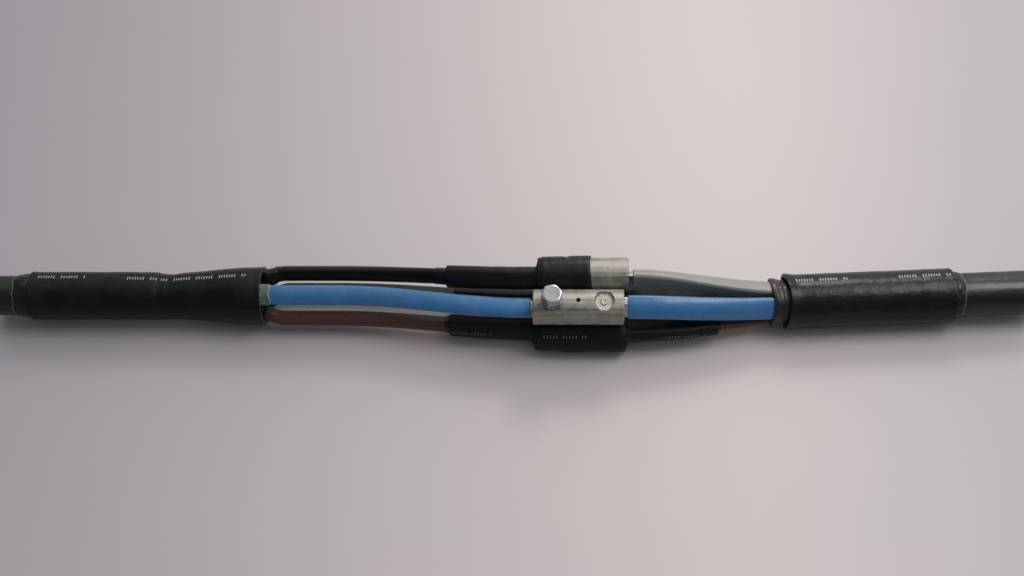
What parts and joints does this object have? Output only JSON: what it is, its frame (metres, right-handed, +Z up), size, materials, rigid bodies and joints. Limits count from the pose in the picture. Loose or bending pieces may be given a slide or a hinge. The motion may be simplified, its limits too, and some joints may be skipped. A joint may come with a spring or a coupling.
{
  "type": "straight cable joint",
  "caption": "Cut-away straight joint of two sector-core cables, with shear-bolt connectors, core sleeves and thick heat-shrink tube ends.",
  "frame": {"origin": "under the middle of the whole part, on the surface it lies on", "axes": "+X along the cable to the right, +Y to the back, +Z up"},
  "size_m": [0.7676, 0.0642, 0.066],
  "materials": {
    "sheath": "satin",
    "bedding": "matte",
    "insulation_black": "satin",
    "insulation_blue": "satin",
    "insulation_brown": "satin",
    "insulation_grey": "satin",
    "conductor": "satin",
    "connector": "satin",
    "bolt": "satin",
    "core_sleeve": "matte",
    "outer_tube": "satin",
    "collar": "satin",
    "adhesive": "glossy",
    "adhesive_pale": "glossy"
  },
  "bodies": {
    "root": {"sheath_left": "sheath", "sheath_right": "sheath", "bedding_left": "bedding", "bedding_right": "bedding", "core_left_black": "insulation_black", "core_left_blue": "insulation_blue", "core_left_brown": "insulation_brown", "core_left_grey": "insulation_grey", "core_right_grey": "insulation_grey", "core_right_blue": "insulation_blue", "core_right_brown": "insulation_brown", "core_right_black": "insulation_black", "conductor_left_black": "conductor", "conductor_left_blue": "conductor", "conductor_left_brown": "conductor", "conductor_left_grey": "conductor", "conductor_right_grey": "conductor", "conductor_right_blue": "conductor", "conductor_right_brown": "conductor", "conductor_right_black": "conductor", "connector_upper_back": "connector", "connector_front": "connector", "connector_lower_front": "connector", "connector_lower_back": "connector", "bolt_front_whole": "bolt", "bolt_front_sheared": "bolt", "bolts_upper_back": "bolt", "bolts_lower_front": "bolt", "bolts_lower_back": "bolt", "sleeve_upper_back": "core_sleeve", "sleeve_lower_front": "core_sleeve", "sleeve_lower_back": "core_sleeve", "outer_tube_left": "outer_tube", "outer_tube_right": "outer_tube", "inner_collar_right": "collar", "adhesive_ring_left": "adhesive", "adhesive_ring_right": "adhesive", "adhesive_crotch_left": "adhesive_pale", "adhesive_sleeve_upper_back": "adhesive", "adhesive_sleeve_lower_front": "adhesive", "adhesive_sleeve_lower_back": "adhesive"}
  },
  "joints": []
}
